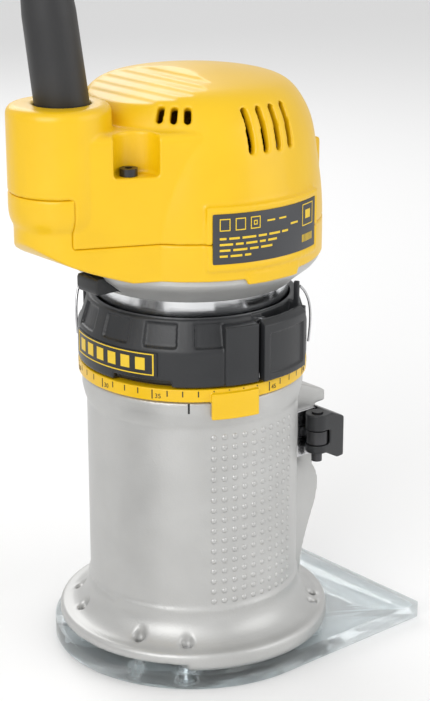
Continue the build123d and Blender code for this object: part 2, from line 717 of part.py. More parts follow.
def cooling_fan():
    hub = ring(27.0, 5.0, 59.0, 60.6) + ring(9.0, 5.0, 59.0, 68.0)
    for k in range(14):
        blade = Pos(8.0, 0, 60.0) * Box(18.2, 1.2, 7.4, align=(Align.MIN, Align.CENTER, Align.MIN))
        hub += Rot(0, 0, 360 / 14 * k) * blade
    return hub


def ball_bearing(r_out, r_in, low, high):
    body = ring(r_out, r_in, low, high)
    middle = (r_out + r_in) / 2
    groove_w = (r_out - r_in) * 0.22
    for z in (low, high - 0.5):
        body -= ring(middle + groove_w, middle - groove_w, z - 0.01, z + 0.51)
    return body


def lower_bearing():
    return ball_bearing(16.0, 7.5 + RUNNING, 44.0, 53.0)


def upper_bearing():
    return ball_bearing(11.0, 4.0 + RUNNING, 172.0, 179.0)


def bearing_bridge():
    """The moulded end frame that carries the upper bearing and the brush holders."""
    cup = ring(14.0, 11.0, 170.6, 180.4) + ring(14.0, 5.5, 169.2, 170.6)
    arms = block(-41, 0, -4.5, 4.5, 169.2, 173.2) + block(-4.5, 4.5, -41, 41, 169.2, 173.2)
    arms &= rod(42.0, 160, 190)
    bridge = cup + (arms - rod(13, 160, 190))
    for side in (1, -1):
        bridge += block(-7, 7, side * 26 - 7, side * 26 + 7, 165.1, 169.4)
    return bridge


def brush_holders():
    """Two brass boxes hung under the end frame."""
    holders = []
    for side in (1, -1):
        y0, y1 = sorted((side * 13.2, side * 36.0))
        holder = block(-5.2, 5.2, y0, y1, 152.9, 165.1)
        holder -= block(-3.3, 3.3, y0 - 1, y1 + 1, 154.7, 163.3)
        y2, y3 = sorted((side * 34.8, side * 36.0))
        holders.append(holder + block(-4, 4, y2, y3, 154, 164))
    return holders


def brushes():
    blocks = []
    for side in (1, -1):
        y0, y1 = sorted((side * 12.05, side * 25.0))
        blocks.append(block(-3.15, 3.15, y0, y1, 154.85, 163.15) - rod(12.05, 150, 170))
    return blocks


def brush_springs():
    spring = helix_wire(2.4, 0.4, 8.6, 5)
    return [Pos(0, side * 25.6, 159) * Rot(-90 * side, 0, 0) * spring for side in (1, -1)]


# ---------------------------------------------------------------- cord

def relief_plane():
    return Plane(origin=RELIEF_FOOT, z_dir=(-sin(radians(RELIEF_LEAN)), 0, cos(radians(RELIEF_LEAN))))


def strain_relief():
    profile = outline((0, -24), (3.5, -24), (3.5, -12), (11.3, -12), (11.3, -7.6), (9.2, -7.6),
                      (9.2, 0), (8.9, 30), (7.6, 46), (5.3, RELIEF_LENGTH), (0, RELIEF_LENGTH))
    return relief_plane() * revolve(Plane.XZ * profile, Axis.Z)


def cord_clamp():
    """The bar over the cord inside the boss, and its two screws."""
    bar = block(-65, -45, -7.2, -3.6, 186, 193)
    screws = [Pos(x, -12, 189.5) * Rot(-90, 0, 0) * extrude(Circle(1.5), 16) for x in (-63, -44.8)]
    heads = [Pos(x, -9.0, 189.5) * Rot(-90, 0, 0) * extrude(Circle(2.7), 1.8) for x in (-63, -44.8)]
    return bar + screws + heads


def route(points):
    """Straight runs joined by arcs as large as both runs allow. Prints radii and length."""
    corners = [Vector(*p) for p in points]
    radii = []
    for before, here, after in zip(corners, corners[1:], corners[2:]):
        run = min((here - before).length, (after - here).length)
        turn = radians((here - before).get_angle(after - here))
        half = sin(turn / 2) / cos(turn / 2)
        radii.append(0.45 * run / half)
    print("radii", [round(r, 1) for r in radii])
    return FilletPolyline(*points, radius=radii)


def tube(points, name):
    path = route(points)
    start = Plane(origin=path @ 0, z_dir=path % 0)
    solid = sweep(start * Circle(CORD_D / 2), path)
    ideal = pi * (CORD_D / 2) ** 2 * path.length
    print(name, "length", round(path.length, 1), "volume ratio", round(solid.volume / ideal, 4))
    return solid


def power_cord():
    return tube(CORD_FALL, "power_cord")


def cord_coil():
    """The outer shape of the put-away turns, with the stretch of cord that leads into them."""
    r_in = COIL_R_OUT - COIL_TURNS_ACROSS * CORD_D - CORD_D / 2
    bundle = Pos(COIL_X, 0, 0) * ring(COIL_R_OUT + CORD_D / 2, r_in, 0, COIL_LAYERS * CORD_D)
    lead = Pos(COIL_X, COIL_R_OUT, CORD_D / 2) * Rot(0, 90, 0) * extrude(
        Circle(CORD_D / 2), LEAD_FACE_X - COIL_X)
    return bundle + lead - coil_tie()


def cord_end():
    return tube([(COIL_X + x, y, z) for x, y, z in CORD_END], "cord_end")


def coil_tie():
    """A strap that draws the bundle of turns in slightly."""
    r_out = COIL_R_OUT + CORD_D / 2
    r_in = r_out - (COIL_TURNS_ACROSS + 1) * CORD_D
    high = COIL_LAYERS * CORD_D
    hoop = sector(r_out + 0.9, r_in - 0.9, 0, high + 0.8, TIE_ANGLE - 6, TIE_ANGLE + 6)
    hoop -= sector(r_out - 0.4, r_in + 0.4, 0.7, high - 0.3, TIE_ANGLE - 7, TIE_ANGLE + 7)
    return Pos(COIL_X, 0, 0) * hoop


def plug_place():
    x, y, z = CORD_END[-1]
    return Pos(COIL_X + x, y, PLUG_Z) * Rot(0, 0, PLUG_HEADING) * Rot(0, 90, 0)


def plug_body():
    """A two-pole moulded plug, lying on its flat side."""
    tail = extrude(Circle(5.2), 15)
    neck_low = Pos(0, 0, 15) * Circle(6.5)
    neck_high = Pos(0, 0, 34) * RectangleRounded(20, 28, 8)
    neck = loft([neck_low, neck_high])
    head = Pos(0, 0, 34) * extrude(RectangleRounded(22, 32, 8), 26)
    for k in range(3):
        head -= Pos(0, 0, 39 + 5 * k) * extrude(
            RectangleRounded(30, 40, 8) - RectangleRounded(20.6, 30.6, 7.4), 1.6)
    return plug_place() * (tail + neck + head)


def plug_pins():
    pin = Pos(0, 0, 60) * extrude(Circle(2.4), 17.5) + Pos(0, 0, 77.5) * Cone(
        2.4, 1.2, 1.5, align=(Align.CENTER, Align.CENTER, Align.MIN))
    return [plug_place() * Pos(0, y, 0) * pin for y in (-9.5, 9.5)]


# ---------------------------------------------------------------- assembly

def build():
    upper, lower = housings()
    first, second = TAB_ANGLES
    return {
        "sub_base": sub_base(),
        "sub_base_screws": sub_base_screws(),
        "base_casting": base_casting(),
        "guide_pins": guide_pins(),
        "snap_ring": snap_ring(),
        "clamp_plate": clamp_plate(),
        "clamp_bolt": clamp_bolt(),
        "clamp_nut": clamp_nut(),
        "lever_pin": lever_pin(),
        "clamp_lever": clamp_lever(),
        "micro_ring": micro_ring(),
        "adjust_ring": adjust_ring(),
        "ring_badge": ring_badge(),
        "release_tab_front": Rot(0, 0, first) * release_tab(),
        "release_tab_rear": Rot(0, 0, second) * release_tab(),
        "release_pins": [Rot(0, 0, angle) * release_pin() for angle in TAB_ANGLES],
        "tab_springs": [Rot(0, 0, angle) * tab_spring() for angle in TAB_ANGLES],
        "motor_can": motor_can(),
        "upper_housing": upper,
        "lower_housing": lower,
        "housing_screws": housing_screws(),
        "label_plate": label_plate(),
        "switch_body": switch_body(),
        "switch_rocker": switch_rocker(),
        "speed_dial": speed_dial(),
        "speed_module": speed_module(),
        "lock_button": lock_button(),
        "lock_spring": lock_spring(),
        "lock_guide": lock_guide(),
        "field_core": field_core(),
        "field_coils": field_coils(),
        "lower_bearing": lower_bearing(),
        "upper_bearing": upper_bearing(),
        "bearing_bridge": bearing_bridge(),
        "brush_holders": brush_holders(),
        "brushes": brushes(),
        "brush_springs": brush_springs(),
        "spindle_shaft": spindle_shaft(),
        "armature_core": armature_core(),
        "armature_windings": armature_windings(),
        "commutator": commutator(),
        "cooling_fan": cooling_fan(),
        "collet": collet(),
        "collet_nut": collet_nut(),
        "strain_relief": strain_relief(),
        "cord_clamp": cord_clamp(),
        "power_cord": power_cord(),
        "cord_coil": cord_coil(),
        "cord_end": cord_end(),
        "coil_tie": coil_tie(),
        "plug_body": plug_body(),
        "plug_pins": plug_pins(),
    }


def main():
    os.makedirs("parts", exist_ok=True)
    for name, shape in build().items():
        if isinstance(shape, list):
            shape = Compound(children=[piece for item in shape for piece in item.solids()])
        export_step(shape, "parts/" + name + ".step")


main()
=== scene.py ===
import json
from math import cos, pi, radians, sin

import bmesh
import bpy
from mathutils import Matrix, Vector


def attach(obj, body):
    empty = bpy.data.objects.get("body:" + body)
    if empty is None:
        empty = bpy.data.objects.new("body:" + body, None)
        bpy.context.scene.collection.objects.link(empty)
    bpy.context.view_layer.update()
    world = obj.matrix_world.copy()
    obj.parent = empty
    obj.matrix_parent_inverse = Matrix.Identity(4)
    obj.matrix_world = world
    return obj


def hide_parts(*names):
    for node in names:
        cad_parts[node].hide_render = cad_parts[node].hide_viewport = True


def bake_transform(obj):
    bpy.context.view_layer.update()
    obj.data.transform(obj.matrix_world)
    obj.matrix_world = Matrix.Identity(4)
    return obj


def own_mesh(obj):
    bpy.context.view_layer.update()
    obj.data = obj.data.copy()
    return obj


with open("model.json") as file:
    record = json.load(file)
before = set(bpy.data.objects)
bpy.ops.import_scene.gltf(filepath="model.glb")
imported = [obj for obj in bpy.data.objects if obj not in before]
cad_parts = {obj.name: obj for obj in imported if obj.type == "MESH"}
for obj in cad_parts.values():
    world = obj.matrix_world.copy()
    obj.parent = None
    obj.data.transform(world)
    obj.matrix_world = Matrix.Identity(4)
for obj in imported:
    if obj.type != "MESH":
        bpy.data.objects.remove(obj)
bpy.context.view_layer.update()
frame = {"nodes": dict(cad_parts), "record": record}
NODES = frame["nodes"]

MM = 0.001

# ---------------------------------------------------------------- sizes

# Radii of the casting's wall, the zero-set ring and the cord
WALL_R = 38.4 * MM
RING_R = 41.2 * MM
CORD_R = 3.5 * MM

# The cord's route, in metres, down from the strain relief to its coil
FALL = [
    (-0.063672, 0.0, 0.264436), (-0.067082, 0.0, 0.2887), (-0.0782, 0.010, 0.3092),
    (-0.0960, 0.026, 0.3170), (-0.1139, 0.042, 0.3092), (-0.1250, 0.052, 0.2887),
    (-0.1264, 0.053, 0.262), (-0.1270, 0.0534, 0.218), (-0.1268, 0.0534, 0.166),
    (-0.1258, 0.053, 0.114), (-0.1244, 0.0523, 0.068), (-0.1230, 0.052, 0.0345),
    (-0.1340, 0.052, 0.0148), (-0.1530, 0.052, 0.0036), (-0.1735, 0.052, 0.0036),
]

# The coil: its middle and outer radius in metres, sweeps and ramp in degrees, heights in mm
COIL_MIDDLE = Vector((-0.2005, 0, 0))
COIL_R_OUT = 0.052
TURNS_IN_LAYER = 1.75
POINTS_IN_TURN = 18
COIL_START = 90.0
LAYER_SWEEP, LAST_SWEEP = 630, 576
RAMP = 60.0
COIL_LOW, LAYER_UP = 3.6, 7.0

# A smooth line runs a little inside its points, so the coil's radius is let out to suit
LET_OUT = 1.6

# The cord's end, in metres from the middle of the coil
END = [
    (0.0425, 0.0311, 0.0245), (0.0311, 0.0425, 0.0265), (0.0157, 0.0473, 0.0315),
    (-0.0002, 0.0445, 0.036), (-0.0131, 0.0347, 0.039), (-0.019909, 0.0201, 0.039),
]


# ---------------------------------------------------------------- materials

def shader(name):
    made = bpy.data.materials.new(name)
    made.use_nodes = True
    return made, made.node_tree, made.node_tree.nodes["Principled BSDF"]


def place_noise(tree, scale, detail=3.0, stretch=(1, 1, 1)):
    """A noise texture fixed to the object, so that it does not slide."""
    where = tree.nodes.new("ShaderNodeTexCoord")
    mapping = tree.nodes.new("ShaderNodeMapping")
    mapping.inputs["Scale"].default_value = stretch
    noise = tree.nodes.new("ShaderNodeTexNoise")
    noise.inputs["Scale"].default_value = scale
    noise.inputs["Detail"].default_value = detail
    tree.links.new(where.outputs["Object"], mapping.inputs["Vector"])
    tree.links.new(mapping.outputs["Vector"], noise.inputs["Vector"])
    return noise


def vary(tree, bsdf, socket, noise, low, high):
    """Lets the noise move one of the shader's numbers between two values."""
    spread = tree.nodes.new("ShaderNodeMapRange")
    spread.inputs["From Min"].default_value = 0.3
    spread.inputs["From Max"].default_value = 0.7
    spread.inputs["To Min"].default_value = low
    spread.inputs["To Max"].default_value = high
    tree.links.new(noise.outputs["Fac"], spread.inputs["Value"])
    tree.links.new(spread.outputs["Result"], bsdf.inputs[socket])


def tint(tree, bsdf, noise, dark, light):
    ramp = tree.nodes.new("ShaderNodeValToRGB")
    ramp.color_ramp.elements[0].position = 0.3
    ramp.color_ramp.elements[0].color = (*dark, 1)
    ramp.color_ramp.elements[1].position = 0.7
    ramp.color_ramp.elements[1].color = (*light, 1)
    tree.links.new(noise.outputs["Fac"], ramp.inputs["Fac"])
    tree.links.new(ramp.outputs["Color"], bsdf.inputs["Base Color"])


def bump(tree, bsdf, noise, depth, strength=1.0):
    node = tree.nodes.new("ShaderNodeBump")
    node.inputs["Strength"].default_value = strength
    node.inputs["Distance"].default_value = depth
    tree.links.new(noise.outputs["Fac"], node.inputs["Height"])
    tree.links.new(node.outputs["Normal"], bsdf.inputs["Normal"])


def solid_material(name, dark, light, rough, metallic=0.0, grain=900, depth=0.00003,
                   patch=45, stretch=(1, 1, 1), **sockets):
    """A surface with patchy tint and roughness over a fine grain."""
    made, tree, bsdf = shader(name)
    broad = place_noise(tree, patch, 4.0)
    tint(tree, bsdf, broad, dark, light)
    vary(tree, bsdf, "Roughness", broad, rough[0], rough[1])
    fine = place_noise(tree, grain, 2.0, stretch)
    bump(tree, bsdf, fine, depth)
    bsdf.inputs["Metallic"].default_value = metallic
    for socket, value in sockets.items():
        bsdf.inputs[socket.replace("_", " ")].default_value = value
    return made


CAST = solid_material("cast_aluminium", (0.47, 0.47, 0.46), (0.54, 0.54, 0.53), (0.36, 0.48),
                      metallic=0.55, grain=1500, depth=0.00006)
TURNED = solid_material("turned_aluminium", (0.70, 0.71, 0.73), (0.78, 0.79, 0.80), (0.12, 0.20),
                        metallic=1.0, grain=120, depth=0.00002, stretch=(1, 1, 60))
STEEL = solid_material("bright_steel", (0.50, 0.50, 0.51), (0.62, 0.62, 0.63), (0.22, 0.34),
                       metallic=1.0, grain=700, depth=0.00001)
DARK_STEEL = solid_material("dark_steel", (0.05, 0.05, 0.052), (0.09, 0.09, 0.095), (0.30, 0.42),
                            metallic=0.9, grain=900, depth=0.00002)
YELLOW = solid_material("yellow_plastic", (0.77, 0.465, 0.001), (0.81, 0.50, 0.002), (0.32, 0.40),
                        grain=1800, depth=0.00002, Coat_Weight=0.08)
BLACK = solid_material("black_plastic", (0.012, 0.013, 0.015), (0.019, 0.020, 0.022), (0.32, 0.44),
                       grain=1600, depth=0.00004)
RUBBER = solid_material("cord_rubber", (0.014, 0.014, 0.015), (0.022, 0.022, 0.023), (0.36, 0.5),
                        grain=1200, depth=0.00002)
LABEL = solid_material("label_film", (0.035, 0.037, 0.042), (0.045, 0.047, 0.052), (0.36, 0.44),
                       grain=600, depth=0.000005)
PRINT = solid_material("yellow_print", (0.74, 0.50, 0.02), (0.80, 0.55, 0.03), (0.38, 0.48),
                       grain=600, depth=0.000004)
# Painted shade: a darker grey that stands for the shadow in the groove round the casting
CAST_GROOVE_SHADE = solid_material("cast_shadow_line", (0.20, 0.20, 0.20), (0.26, 0.26, 0.26), (0.5, 0.6),
                           metallic=0.3, grain=900, depth=0.00002)
INK = solid_material("black_ink", (0.010, 0.010, 0.010), (0.016, 0.016, 0.016), (0.45, 0.55),
                     grain=600, depth=0.000004)
COPPER = solid_material("copper_wire", (0.42, 0.16, 0.06), (0.60, 0.26, 0.11), (0.28, 0.42),
                        metallic=0.9, grain=500, depth=0.00015, stretch=(1, 1, 12))
BRASS = solid_material("brass", (0.55, 0.40, 0.16), (0.66, 0.50, 0.22), (0.25, 0.38), metallic=1.0)
LAMINATION = solid_material("laminated_steel", (0.20, 0.20, 0.21), (0.30, 0.30, 0.31), (0.35, 0.5),
                            metallic=0.9, grain=60, depth=0.00015, stretch=(1, 1, 60))
CARBON = solid_material("carbon", (0.02, 0.02, 0.02), (0.035, 0.035, 0.035), (0.45, 0.6))


def clear_plastic():
    made, tree, bsdf = shader("clear_plastic")
    bsdf.inputs["Base Color"].default_value = (0.80, 0.90, 0.93, 1)
    bsdf.inputs["Transmission Weight"].default_value = 1.0
    bsdf.inputs["IOR"].default_value = 1.49
    bsdf.inputs["Alpha"].default_value = 0.6
    scuffs = place_noise(tree, 260, 4.0)
    vary(tree, bsdf, "Roughness", scuffs, 0.01, 0.05)
    bump(tree, bsdf, scuffs, 0.000004)
    return made


CLEAR = clear_plastic()

FINISH = {
    "sub_base": CLEAR, "sub_base_screws": STEEL, "base_casting": CAST, "guide_pins": STEEL,
    "snap_ring": DARK_STEEL, "clamp_plate": STEEL, "clamp_bolt": DARK_STEEL, "clamp_nut": STEEL,
    "lever_pin": DARK_STEEL, "clamp_lever": BLACK, "micro_ring": YELLOW, "adjust_ring": BLACK,
    "ring_badge": BLACK, "release_tab_front": BLACK, "release_tab_rear": BLACK,
    "release_pins": STEEL, "tab_springs": STEEL, "motor_can": TURNED, "upper_housing": YELLOW,
    "lower_housing": YELLOW, "housing_screws": DARK_STEEL, "label_plate": LABEL,
    "switch_body": BLACK, "switch_rocker": BLACK, "speed_dial": BLACK, "speed_module": BLACK,
    "lock_button": BLACK, "lock_spring": STEEL, "lock_guide": BLACK, "field_core": LAMINATION,
    "field_coils": COPPER, "lower_bearing": STEEL, "upper_bearing": STEEL,
    "bearing_bridge": BLACK, "brush_holders": BRASS, "brushes": CARBON, "brush_springs": STEEL,
    "spindle_shaft": STEEL, "armature_core": LAMINATION, "armature_windings": COPPER,
    "commutator": COPPER, "cooling_fan": BLACK, "collet": STEEL, "collet_nut": DARK_STEEL,
    "strain_relief": RUBBER, "cord_clamp": BLACK, "power_cord": RUBBER, "cord_coil": RUBBER,
    "cord_end": RUBBER, "coil_tie": BLACK, "plug_body": RUBBER, "plug_pins": STEEL,
}

BODY_OF = {node: body for body, nodes in frame["record"]["behaviour"]["bodies"].items()
           for node in nodes}


# ---------------------------------------------------------------- mesh helpers

def add_piece(name, mesh, material, body=None):
    piece = bpy.data.objects.new(name, mesh)
    bpy.context.scene.collection.objects.link(piece)
    mesh.materials.clear()
    mesh.materials.append(material)
    if body:
        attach(piece, body)
    return piece


def applied(piece):
    """Puts the result of the piece's modifiers into its mesh."""
    graph = bpy.context.evaluated_depsgraph_get()
    mesh = bpy.data.meshes.new_from_object(piece.evaluated_get(graph))
    piece.modifiers.clear()
    piece.data = mesh


def shade(mesh, angle=35):
    mesh.polygons.foreach_set("use_smooth", [True] * len(mesh.polygons))
    mesh.set_sharp_from_angle(angle=radians(angle))
    mesh.update()


def moulded(node, voxel, passes, extra=None, keep=1.0):
    """A cast or moulded form of a CAD node: its edges are softly rounded, as a mould leaves them."""
    mesh = NODES[node].data.copy()
    piece = bpy.data.objects.new(node + "_skin", mesh)
    bpy.context.scene.collection.objects.link(piece)
    remesh = piece.modifiers.new("remesh", "REMESH")
    remesh.mode = "VOXEL"
    remesh.voxel_size = voxel
    smooth = piece.modifiers.new("smooth", "SMOOTH")
    smooth.factor = 0.5
    smooth.iterations = passes
    if keep < 1:
        thin = piece.modifiers.new("thin", "DECIMATE")
        thin.ratio = keep
    applied(piece)
    if extra:
        extra(piece.data)
    piece.data.materials.clear()
    piece.data.materials.append(FINISH[node])
    shade(piece.data, 50)
    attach(piece, BODY_OF[node])
    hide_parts(node)
    return piece


def bevelled(node, width, angle=35):
    """A CAD node's own shape with its sharp edges broken."""
    piece = bpy.data.objects.new(node + "_skin", NODES[node].data.copy())
    bpy.context.scene.collection.objects.link(piece)
    weld = piece.modifiers.new("weld", "WELD")
    weld.merge_threshold = 0.000002
    edge = piece.modifiers.new("edge", "BEVEL")
    edge.width = width
    edge.segments = 2
    edge.limit_method = "ANGLE"
    edge.angle_limit = radians(angle)
    edge.use_clamp_overlap = True
    applied(piece)
    piece.data.materials.clear()
    piece.data.materials.append(FINISH[node])
    shade(piece.data, 30)
    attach(piece, BODY_OF[node])
    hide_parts(node)
    return piece


def curved_patch(form, r, thick, low, high, start, end):
    """Adds a thin plate bent round Z to a bmesh. Angles in degrees."""
    steps = max(2, int(abs(end - start) / 1.5) + 1)
    rows = []
    for k in range(steps + 1):
        a = radians(start + (end - start) * k / steps)
        ring = [form.verts.new((q * cos(a), q * sin(a), z))
                for q, z in ((r, low), (r + thick, low), (r + thick, high), (r, high))]
        rows.append(ring)
    for one, two in zip(rows, rows[1:]):
        for i in range(4):
            j = (i + 1) % 4
            form.faces.new((one[i], one[j], two[j], two[i]))
    form.faces.new(rows[0][::-1])
    form.faces.new(rows[-1])


def patches(name, body, material, plates):
    """One piece made of thin bent plates: (radius, thickness, low, high, start, end)."""
    form = bmesh.new()
    for plate in plates:
        curved_patch(form, *plate)
    bmesh.ops.recalc_face_normals(form, faces=form.faces)
    mesh = bpy.data.meshes.new(name)
    form.to_mesh(mesh)
    form.free()
    return add_piece(name, mesh, material, body)


# ---------------------------------------------------------------- base

DIMPLE_PITCH = 3.9 * MM
DIMPLE_LOW, DIMPLE_HIGH = 27 * MM, 90 * MM
DIMPLE_FROM, DIMPLE_TO = -119, -63

STUD_R = 1.15 * MM
STUD_HIGH = 0.55 * MM
STUD_SUNK = 0.1 * MM
STUD_SIDES = 10
STUD_TILTS = (30, 60, 90)


def stud():
    """One flattened dome, as points and faces, lying on +X."""
    points, faces = [(STUD_HIGH, 0, 0)], []
    for tilt in STUD_TILTS:
        for i in range(STUD_SIDES):
            a = 2 * pi * i / STUD_SIDES
            r = STUD_R * sin(radians(tilt))
            points.append((STUD_HIGH * cos(radians(tilt)) - STUD_SUNK, r * cos(a), r * sin(a)))
    for i in range(STUD_SIDES):
        j = (i + 1) % STUD_SIDES
        faces.append((0, 1 + i, 1 + j))
        for level in range(len(STUD_TILTS) - 1):
            low = 1 + STUD_SIDES * level
            high = low + STUD_SIDES
            faces.append((low + i, high + i, high + j, low + j))
    last = STUD_SIDES * len(STUD_TILTS)
    faces.append(tuple(last - i for i in range(STUD_SIDES)))
    return points, faces


def add_dimples(mesh):
    """Rows of small raised grip studs on both sides of the casting."""
    points, faces = stud()
    all_points, all_faces = [], []
    step = DIMPLE_PITCH / WALL_R * 180 / pi
    rows = int((DIMPLE_HIGH - DIMPLE_LOW) / DIMPLE_PITCH)
    for side in (1, -1):
        for column in range(int((DIMPLE_TO - DIMPLE_FROM) / step) + 1):
            angle = radians(DIMPLE_FROM + column * step) * side
            turn = Matrix.Rotation(angle, 4, "Z")
            for row in range(rows + 1):
                place = turn @ Matrix.Translation((WALL_R, 0, DIMPLE_LOW + row * DIMPLE_PITCH))
                first = len(all_points)
                all_points += [place @ Vector(p) for p in points]
                all_faces += [tuple(first + i for i in face) for face in faces]
    studs = bpy.data.meshes.new("studs")
    studs.from_pydata(all_points, [], all_faces)
    form = bmesh.new()
    form.from_mesh(mesh)
    form.from_mesh(studs)
    form.to_mesh(mesh)
    form.free()
    bpy.data.meshes.remove(studs)


moulded("base_casting", 0.75 * MM, 5, add_dimples, keep=0.5)
bevelled("sub_base", 0.3 * MM)
for small in ("sub_base_screws", "clamp_bolt", "clamp_nut", "lever_pin"):
    shade(NODES[small].data, 30)
bevelled("clamp_plate", 0.15 * MM)
moulded("clamp_lever", 0.35 * MM, 5)

# The index mark that the ring's scale is read against
patches("scale_line", "base", INK, [
    (40.0 * MM, 0.06 * MM, 99.3 * MM, 103.0 * MM, -132.4, -131.4)])

# A painted shade line round the casting below the ring: a darker sheet standing in for the shadow in
# the casting's groove, with gaps on the window and cord sides
LINE_SPAN = 55
patches("painted_groove_shade", "base", CAST_GROOVE_SHADE, [
    (38.42 * MM, 0.05 * MM, 93.35 * MM, 93.7 * MM, start, start + LINE_SPAN)
    for start in (-175, -120, 65, 120)])

# ---------------------------------------------------------------- rings

moulded("micro_ring", 0.33 * MM, 3)
moulded("adjust_ring", 0.42 * MM, 4)
moulded("release_tab_front", 0.3 * MM, 3)
moulded("release_tab_rear", 0.3 * MM, 3)


# The scale: angles in degrees. The numbers' values are a guess
TICKS = 48
TICKS_IN_NUMBER = 4
TICK_STEP = 7.5
TICK_WIDE = 0.55
NUMBER_STEP = 30
NUMBER_ASIDE = 3.2
VALUE_STEP = 5
NUMBER_SIZE = 2.3 * MM


def scale_ticks():
    """Fine black graduations round the zero-set ring."""
    plates = []
    for k in range(TICKS):
        long = k % TICKS_IN_NUMBER == 0
        low = (104.6 if long else 105.8) * MM
        start = TICK_STEP * k
        plates.append((RING_R, 0.05 * MM, low, 107.9 * MM, start, start + TICK_WIDE))
    return plates


patches("scale_marks", "micro_ring", INK, scale_ticks())


def scale_digits():
    """Numbers beside the long graduations."""
    form = bmesh.new()
    upright = Matrix.Rotation(radians(90), 4, "Z") @ Matrix.Rotation(radians(90), 4, "X")
    out = Matrix.Translation((RING_R + 0.04 * MM, 0, 105.0 * MM))
    for k in range(TICKS // TICKS_IN_NUMBER):
        letters = bpy.data.curves.new("digit", "FONT")
        letters.body = str(VALUE_STEP * k)
        letters.size = NUMBER_SIZE
        letters.extrude = 0.03 * MM
        letters.align_x = "CENTER"
        holder = bpy.data.objects.new("digit", letters)
        bpy.context.scene.collection.objects.link(holder)
        graph = bpy.context.evaluated_depsgraph_get()
        mesh = bpy.data.meshes.new_from_object(holder.evaluated_get(graph))
        turn = Matrix.Rotation(radians(NUMBER_STEP * k + NUMBER_ASIDE), 4, "Z")
        mesh.transform(turn @ out @ upright)
        form.from_mesh(mesh)
        bpy.data.objects.remove(holder)
        bpy.data.meshes.remove(mesh)
    mesh = bpy.data.meshes.new("scale_digits")
    form.to_mesh(mesh)
    form.free()
    add_piece("scale_digits", mesh, INK, "micro_ring")


scale_digits()


def badge_marks():
    """A generic badge: a thin frame round a row of bars."""
    r, t = 41.75 * MM, 0.12 * MM
    low, high = 113.1 * MM, 120.9 * MM
    plates = [
        (r, t, 120.5 * MM, high, 157, 211),
        (r, t, low, 113.5 * MM, 157, 211),
        (r, t, low, high, 156.5, 157.2),
        (r, t, low, high, 210.8, 211.5),
    ]
    for k in range(6):
        start = 161 + 8.2 * k
        plates.append((r, t, 114.8 * MM, 119.2 * MM, start, start + 5.0))
    return plates


patches("badge_print", "adjust_ring", PRINT, badge_marks())

# ---------------------------------------------------------------- motor

BAND_TOP = 138.2 * MM


def motor_can():
    """The turned can, with its flared neck left as cast."""
    can = bevelled("motor_can", 0.15 * MM)
    can.data.materials.append(CAST)
    for face in can.data.polygons:
        if face.center.z > BAND_TOP:
            face.material_index = 1


motor_can()
moulded("upper_housing", 0.62 * MM, 5, keep=0.3)
moulded("lower_housing", 0.62 * MM, 5, keep=0.5)
moulded("lock_button", 0.4 * MM, 3)


def lock_spring():
    """The lock's spring, which in the tool shortens as the button is pressed; here it only gets its
    edges broken and a mesh of its own.
    """
    piece = bevelled("lock_spring", 0.01 * MM)
    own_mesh(piece)


lock_spring()
moulded("switch_rocker", 0.35 * MM, 3)
bevelled("speed_dial", 0.15 * MM)
moulded("strain_relief", 0.55 * MM, 6)
bevelled("label_plate", 0.08 * MM)


# The printed part of the label, in degrees clockwise from +X as seen from above
LABEL_FROM, LABEL_TO = 121.5, 65.6


def label_marks():
    """Generic marks in the places that a rating plate has: no words and no real symbols."""
    r, t = 46.7 * MM, 0.06 * MM

    def bar(x0, x1, z0, z1):
        """A bar between two hundredths of the label's width and two heights in millimetres."""
        scale = (LABEL_TO - LABEL_FROM) / 100.0
        return (r, t, z0 * MM, z1 * MM, -LABEL_FROM - x0 * scale, -LABEL_FROM - x1 * scale)

    def frame_of(x0, x1, z0, z1, line=0.35):
        across = line * 1.9
        return [bar(x0, x1, z0, z0 + line), bar(x0, x1, z1 - line, z1),
                bar(x0, x0 + across, z0, z1), bar(x1 - across, x1, z0, z1)]

    plates = frame_of(5, 13, 165.6, 169.8) + frame_of(17, 25, 165.6, 169.8)
    plates += frame_of(29, 37, 165.6, 169.8) + frame_of(31.5, 34.5, 166.9, 168.5)
    plates += frame_of(80, 95, 162.6, 170.2) + [bar(84, 91, 165.0, 168.0)]
    plates += [bar(43, 50, 167.4, 168.0), bar(54, 61, 167.4, 168.0), bar(66, 74, 164.6, 165.3)]
    for row, z in enumerate((162.6, 160.6, 158.6, 156.6)):
        x = 5.0
        for word in range(6 - row):
            long = 5 + (3 * word + 5 * row) % 7
            plates.append(bar(x, x + long, z, z + 0.75))
            x += long + 2.2
    for k in range(8):
        plates.append(bar(80 + 1.9 * k, 80.9 + 1.9 * k, 157.0, 159.6))
    return plates


patches("label_print", "motor_unit", PRINT, label_marks())

# ---------------------------------------------------------------- cord

def coil_points():
    """The turns of the put-away coil, layer on layer, in and out."""
    points = []
    r_in = COIL_R_OUT - TURNS_IN_LAYER * 2 * CORD_R
    cut = cos(pi / POINTS_IN_TURN) ** LET_OUT
    angle = COIL_START
    step = 360.0 / POINTS_IN_TURN
    spans = [(COIL_R_OUT, r_in, LAYER_SWEEP), (r_in, COIL_R_OUT, LAYER_SWEEP),
             (COIL_R_OUT, r_in, LAYER_SWEEP), (r_in, COIL_R_OUT, LAST_SWEEP)]
    for layer, (r0, r1, sweep) in enumerate(spans):
        count = int(sweep / step)
        for k in range(count):
            part = (k + 0.5) / count
            to_end = (1 - part) * sweep
            climb = 0.0
            if layer < len(spans) - 1 and to_end < RAMP:
                climb = 1 - to_end / RAMP
            z = (COIL_LOW + LAYER_UP * (layer + climb)) * MM
            a = radians(angle + part * sweep)
            r = (r0 + (r1 - r0) * part) / cut
            points.append(COIL_MIDDLE + Vector((r * cos(a), r * sin(a), z)))
        angle += sweep
    return points


